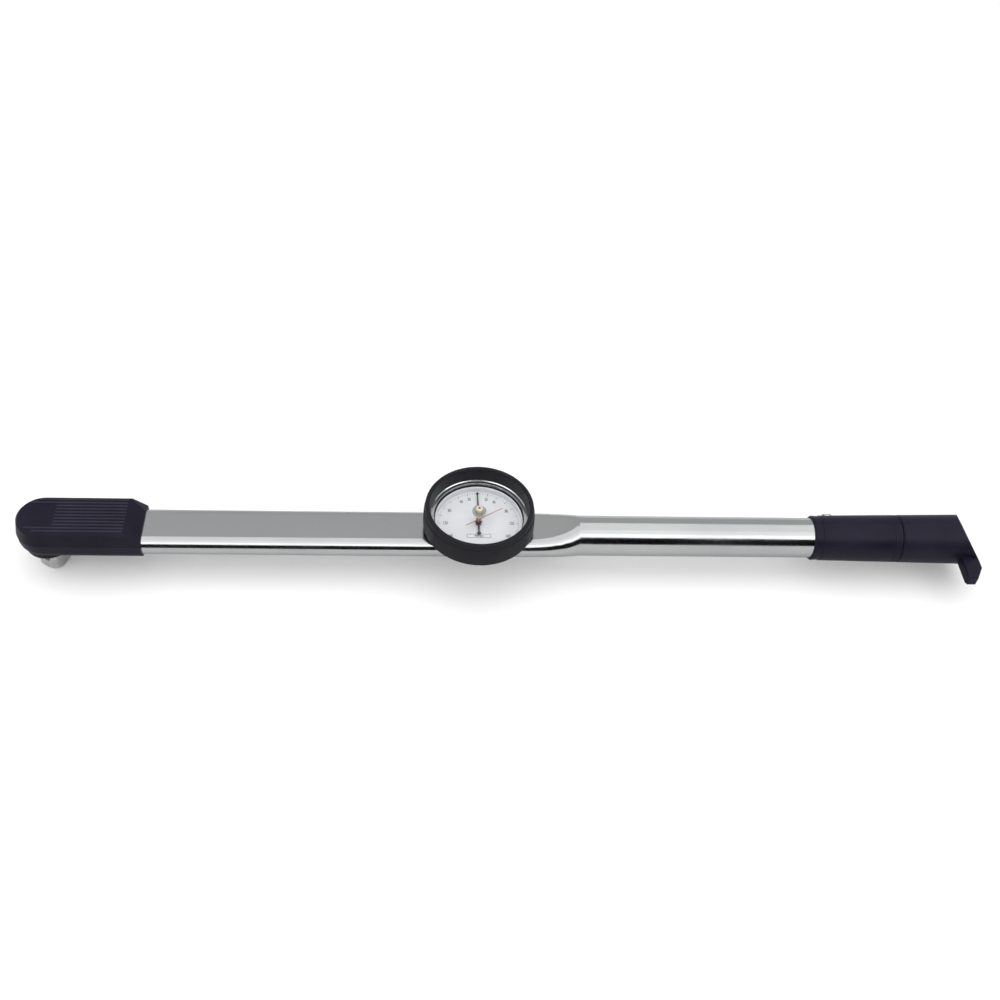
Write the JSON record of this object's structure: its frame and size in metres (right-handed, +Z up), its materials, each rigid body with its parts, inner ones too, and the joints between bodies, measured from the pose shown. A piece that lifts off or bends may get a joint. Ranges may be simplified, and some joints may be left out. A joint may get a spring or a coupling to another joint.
{
  "type": "dial torque wrench",
  "caption": "Dial-reading torque wrench: flattened tube, plastic head with a square drive, rubber-booted dial with a memory hand, and a grip ending in a hook.",
  "frame": {"origin": "centre of the square drive's end face", "axes": "+X along the tube from the drive to the grip, +Z up through the dial, +Y to the side away from the hook"},
  "size_m": [0.5476, 0.0628, 0.0504],
  "materials": {
    "chrome_tube": "satin chrome plate with a fine lengthwise grain",
    "black_plastic": "moulded matte black, slightly purple in light",
    "zinc_steel": "zinc-plated steel",
    "machined_steel": "turned and ground steel",
    "drive_steel": "bright chromed drive steel",
    "spring_steel": "tempered spring steel",
    "bronze": "sintered bronze",
    "movement_brass": "brushed brass",
    "cast_aluminium": "dark cast and turned aluminium",
    "bright_ring": "polished chromed ring",
    "boot_rubber": "charcoal moulded rubber",
    "dial_white": "off-white satin print ground",
    "dial_black": "matte black paint",
    "clear_lens": "clear acrylic",
    "memory_red": "red enamel",
    "knob_brass": "dull brass",
    "plug_plastic": "black nylon"
  },
  "bodies": {
    "housing": {"tube": "chrome_tube", "upper_cheek": "machined_steel", "lower_cheek": "machined_steel", "cheek_screws": "zinc_steel", "upper_bush": "bronze", "lower_bush": "bronze", "head_cover_upper": "black_plastic", "head_cover_lower": "black_plastic", "cover_screws": "zinc_steel", "load_block": "machined_steel", "load_block_screws": "zinc_steel", "movement_plate_upper": "movement_brass", "movement_plate_lower": "movement_brass", "movement_pillars": "machined_steel", "arbor_bush_upper": "bronze", "arbor_bush_lower": "bronze", "dial_housing": "cast_aluminium", "dial_housing_screws": "zinc_steel", "bezel_snap_ring": "spring_steel", "grip_collar": "black_plastic", "grip_front": "black_plastic", "grip_hook": "black_plastic", "tube_plug": "plug_plastic", "grip_screw": "zinc_steel"},
    "drive_head": {"drive_spindle": "drive_steel", "deflection_beam": "spring_steel", "drive_keys": "machined_steel", "spindle_circlip": "spring_steel", "measuring_arm": "spring_steel", "arm_screws": "zinc_steel", "detent_spring": "spring_steel"},
    "detent": {"detent_ball": "spring_steel"},
    "pointer": {"pointer_arbor": "machined_steel", "pointer_pinion": "movement_brass", "hairspring": "spring_steel", "hairspring_collet": "movement_brass", "main_pointer": "dial_black"},
    "bezel": {"bezel_ring": "cast_aluminium", "dial_plate": "dial_white", "dial_spacer": "dial_white", "lens_seal": "boot_rubber", "dial_lens": "clear_lens", "lens_ring": "bright_ring", "dial_boot": "boot_rubber"},
    "memory": {"memory_pointer": "memory_red", "memory_shaft": "machined_steel", "knob_disc": "clear_lens", "reset_knob": "knob_brass"}
  },
  "joints": [
    {"name": "drive_twist", "type": "hinge", "parent": "housing", "child": "drive_head", "pos_m": [0, 0, 0], "axis": [0, 0, 1], "range_deg": [-1.25, 1.25], "stiffness_Nm_per_rad": 50},
    {"name": "pointer_turn", "type": "hinge", "parent": "housing", "child": "pointer", "pos_m": [0.242, 0, 0], "axis": [0, 0, 1], "range_deg": [-150.5, 150.5]},
    {"name": "bezel_turn", "type": "hinge", "parent": "housing", "child": "bezel", "pos_m": [0.242, 0, 0], "axis": [0, 0, 1], "continuous": true},
    {"name": "memory_turn", "type": "hinge", "parent": "bezel", "child": "memory", "pos_m": [0.242, 0, 0], "axis": [0, 0, 1], "continuous": true},
    {"name": "detent_press", "type": "slide", "parent": "drive_head", "child": "detent", "axis": [0.4226, 0.9063, 0], "range_m": [0, 0.0009], "stiffness_N_per_m": 500}
  ],
  "couplings": [
    {"joint": "pointer_turn", "follows": "drive_twist", "ratio": -120}
  ]
}
